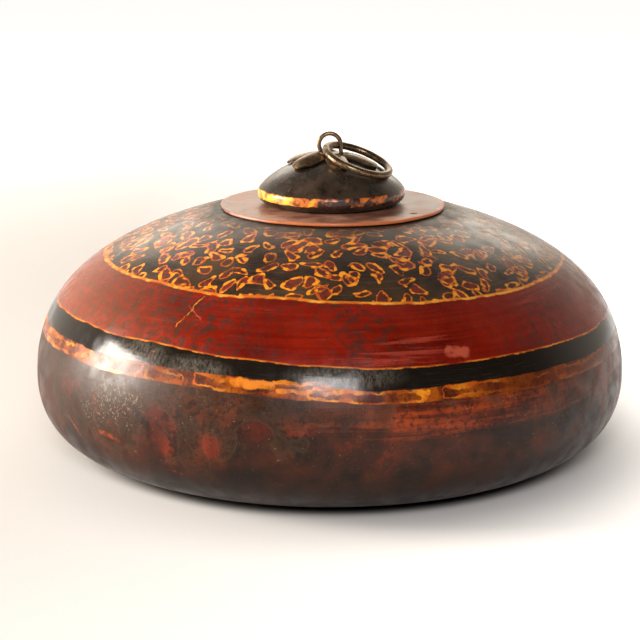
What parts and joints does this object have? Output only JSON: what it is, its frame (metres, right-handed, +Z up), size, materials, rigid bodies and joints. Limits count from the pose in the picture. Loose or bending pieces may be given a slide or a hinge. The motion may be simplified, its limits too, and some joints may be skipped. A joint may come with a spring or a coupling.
{
  "type": "round lidded box",
  "caption": "Flattened round box of lacquered turned wood: bowl, domed drop-over lid, hide collar, wooden knob with iron rosette, staple and pull ring.",
  "frame": {"origin": "centre of the flat foot, on the surface that the box stands on", "axes": "+Z up along the turning axis of bowl and lid; the pull ring lies to +X, turned 26 degrees towards -Y"},
  "size_m": [0.305, 0.305, 0.1639],
  "materials": {
    "bowl_lacquer": "worn dark brown lacquer, dull, with red-brown stains",
    "lid_lacquer": "glossy lacquer in bands: patterned dark crown, red, black and orange",
    "knob_lacquer": "satin black-brown lacquer with an orange band",
    "hide": "matte, darkened hide with an orange-tan cut edge",
    "iron": "aged brown wrought iron, worn bright on high spots"
  },
  "bodies": {
    "bowl": {"bowl": "bowl_lacquer"},
    "lid": {"lid": "lid_lacquer", "collar_disc": "hide", "knob": "knob_lacquer", "rosette": "iron", "staple": "iron", "rove": "iron"},
    "ring": {"pull_ring": "iron"}
  },
  "joints": [
    {"name": "lid_lift", "type": "slide", "parent": "bowl", "child": "lid", "axis": [0, 0, 1], "range_m": [0, 0.12]},
    {"name": "ring_swing", "type": "hinge", "parent": "lid", "child": "ring", "pos_m": [0, 0, 0.1566], "axis": [-0.4384, -0.8988, 0], "range_deg": [0, 130]}
  ]
}
